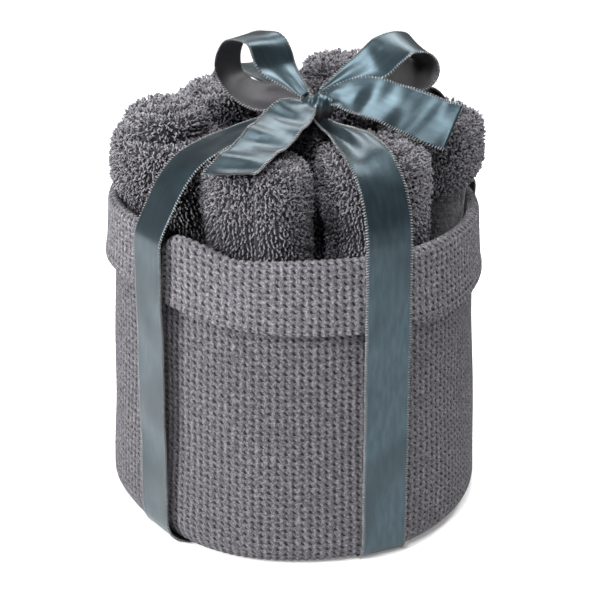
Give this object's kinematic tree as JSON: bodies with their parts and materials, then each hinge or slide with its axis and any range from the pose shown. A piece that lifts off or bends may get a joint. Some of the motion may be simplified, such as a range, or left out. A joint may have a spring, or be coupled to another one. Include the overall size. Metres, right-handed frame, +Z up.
{
  "type": "gift basket of rolled towels",
  "caption": "Round waffle-cloth basket with a folded cuff, filled with upright rolled terry towels and tied crosswise with a satin ribbon bow.",
  "frame": {"origin": "centre of the basket's base, on the surface it stands on", "axes": "+Z up the basket's axis, front towards -Y, +X to the right as seen from the front"},
  "size_m": [0.1442, 0.1442, 0.1819],
  "materials": {
    "waffle_cloth": "mid-grey waffle-knit cotton with puffy cells and dark pits",
    "base_cloth": "plain grey cotton base panel",
    "thread": "light grey sewing thread",
    "terry": "dark charcoal looped terry",
    "satin_ribbon": "blue-grey satin face, matte charcoal back, stitched edges"
  },
  "bodies": {
    "basket": {"basket_side": "waffle_cloth", "basket_base": "base_cloth", "hem_thread": "thread", "base_seam_thread": "thread", "ribbon_run_lower": "satin_ribbon", "ribbon_run_upper": "satin_ribbon", "ribbon_leg_front_left": "satin_ribbon", "ribbon_leg_front_right": "satin_ribbon", "ribbon_leg_back_right": "satin_ribbon", "ribbon_leg_back_left": "satin_ribbon"},
    "towel_left": {"towel_left": "terry"},
    "towel_front_left": {"towel_front_left": "terry"},
    "towel_front_right": {"towel_front_right": "terry"},
    "towel_right": {"towel_right": "terry"},
    "towel_back_right": {"towel_back_right": "terry"},
    "towel_back_left": {"towel_back_left": "terry"},
    "towel_centre": {"towel_centre": "terry"},
    "bow": {"bow_knot": "satin_ribbon", "bow_loop_left": "satin_ribbon", "bow_loop_right": "satin_ribbon", "bow_tail_left": "satin_ribbon", "bow_tail_right": "satin_ribbon"}
  },
  "joints": [
    {"name": "centre_towel_lift", "type": "slide", "parent": "basket", "child": "towel_centre", "axis": [0, 0, 1], "range_m": [0, 0.12]},
    {"name": "left_towel_lift", "type": "slide", "parent": "basket", "child": "towel_left", "axis": [0, 0, 1], "range_m": [0, 0.12]},
    {"name": "front_left_towel_lift", "type": "slide", "parent": "basket", "child": "towel_front_left", "axis": [0, 0, 1], "range_m": [0, 0.12]},
    {"name": "front_right_towel_lift", "type": "slide", "parent": "basket", "child": "towel_front_right", "axis": [0, 0, 1], "range_m": [0, 0.12]},
    {"name": "right_towel_lift", "type": "slide", "parent": "basket", "child": "towel_right", "axis": [0, 0, 1], "range_m": [0, 0.12]},
    {"name": "back_right_towel_lift", "type": "slide", "parent": "basket", "child": "towel_back_right", "axis": [0, 0, 1], "range_m": [0, 0.12]},
    {"name": "back_left_towel_lift", "type": "slide", "parent": "basket", "child": "towel_back_left", "axis": [0, 0, 1], "range_m": [0, 0.12]},
    {"name": "bow_lift", "type": "slide", "parent": "basket", "child": "bow", "axis": [0, 0, 1], "range_m": [0, 0.12], "deforming": ["ribbon_leg_front_left", "ribbon_leg_front_right", "ribbon_leg_back_right", "ribbon_leg_back_left"]}
  ],
  "couplings": [
    {"joint": "left_towel_lift", "follows": "centre_towel_lift", "ratio": 1},
    {"joint": "front_left_towel_lift", "follows": "centre_towel_lift", "ratio": 1},
    {"joint": "front_right_towel_lift", "follows": "centre_towel_lift", "ratio": 1},
    {"joint": "right_towel_lift", "follows": "centre_towel_lift", "ratio": 1},
    {"joint": "back_right_towel_lift", "follows": "centre_towel_lift", "ratio": 1},
    {"joint": "back_left_towel_lift", "follows": "centre_towel_lift", "ratio": 1},
    {"joint": "bow_lift", "follows": "centre_towel_lift", "ratio": 1}
  ]
}
